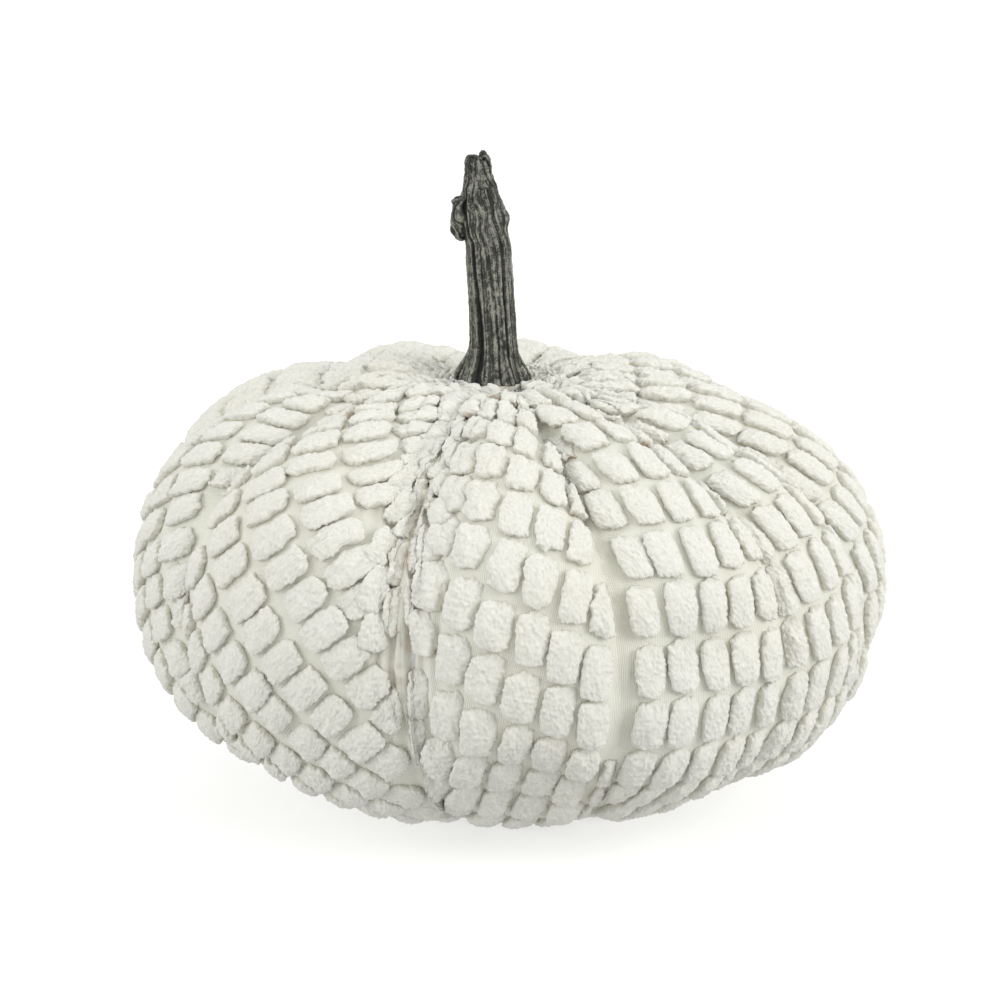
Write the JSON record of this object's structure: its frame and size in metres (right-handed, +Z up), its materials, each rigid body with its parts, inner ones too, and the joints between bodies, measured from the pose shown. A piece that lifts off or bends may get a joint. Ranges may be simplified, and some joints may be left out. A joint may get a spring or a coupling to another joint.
{
  "type": "stuffed fabric pumpkin ornament",
  "caption": "Squat lobed pumpkin ornament sewn from tufted cream fabric gores, stuffed and gathered under a short ridged wood-look stem, with a flat felt base.",
  "frame": {"origin": "centre of the underside of the felt base disc, on the surface that the ornament stands on", "axes": "+Z up through the stem, -Y towards the front, +X to the right seen from the front"},
  "size_m": [0.2491, 0.2432, 0.2195],
  "materials": {
    "tufted_cover": "matte",
    "fibre_fill": "matte",
    "sewing_thread": "matte",
    "tie_cord": "matte",
    "stem_resin": "matte",
    "pin_steel": "satin",
    "hot_melt": "satin",
    "base_felt": "matte"
  },
  "bodies": {
    "root": {"cover_panel_01": "tufted_cover", "cover_panel_02": "tufted_cover", "cover_panel_03": "tufted_cover", "cover_panel_04": "tufted_cover", "cover_panel_05": "tufted_cover", "cover_panel_06": "tufted_cover", "cover_panel_07": "tufted_cover", "cover_panel_08": "tufted_cover", "cover_panel_09": "tufted_cover", "cover_panel_10": "tufted_cover", "fibre_core": "fibre_fill", "seam_thread_01": "sewing_thread", "seam_thread_02": "sewing_thread", "seam_thread_03": "sewing_thread", "seam_thread_04": "sewing_thread", "seam_thread_05": "sewing_thread", "seam_thread_06": "sewing_thread", "seam_thread_07": "sewing_thread", "seam_thread_08": "sewing_thread", "seam_thread_09": "sewing_thread", "seam_thread_10": "sewing_thread", "top_gather_thread": "sewing_thread", "bottom_gather_thread": "sewing_thread", "centre_tie_cord": "tie_cord", "stem": "stem_resin", "stem_pin": "pin_steel", "stem_glue": "hot_melt", "base_felt": "base_felt", "base_glue": "hot_melt"}
  },
  "joints": []
}
